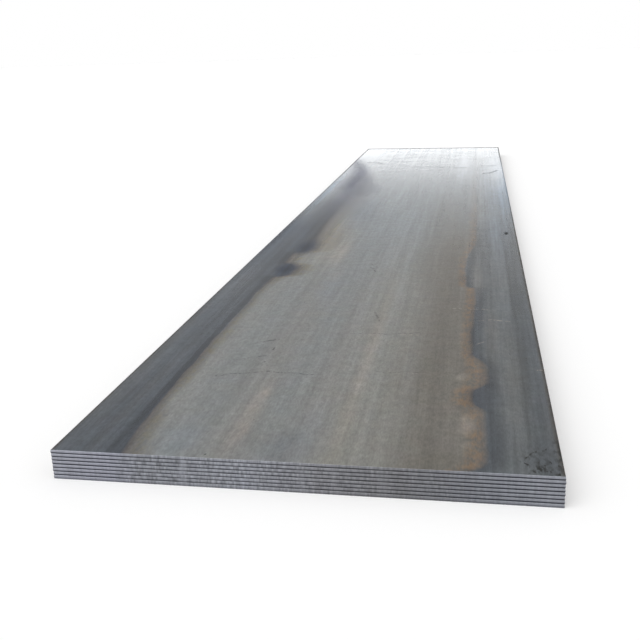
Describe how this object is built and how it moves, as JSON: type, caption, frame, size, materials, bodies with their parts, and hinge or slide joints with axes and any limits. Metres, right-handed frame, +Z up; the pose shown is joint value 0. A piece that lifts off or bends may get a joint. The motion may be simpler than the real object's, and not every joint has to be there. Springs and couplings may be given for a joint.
{
  "type": "stack of steel plates",
  "caption": "Flush stack of long hot-rolled steel plates with rounded mill edges and sheared ends, lying flat as stored raw stock.",
  "frame": {"origin": "middle of the stack's footprint, on the surface that the bottom plate lies on", "axes": "+Z up through the stack, +Y along the rolling direction away from the end that the picture shows, +X across the width"},
  "size_m": [1.501, 8.0008, 0.096],
  "materials": {
    "hot_rolled_steel": "hot-rolled mild steel with blue-grey mill scale, bare where the ends were sheared"
  },
  "bodies": {
    "root": {"plate_1": "hot_rolled_steel", "plate_2": "hot_rolled_steel", "plate_3": "hot_rolled_steel", "plate_4": "hot_rolled_steel", "plate_5": "hot_rolled_steel", "plate_6": "hot_rolled_steel", "plate_7": "hot_rolled_steel", "plate_8": "hot_rolled_steel"}
  },
  "joints": []
}
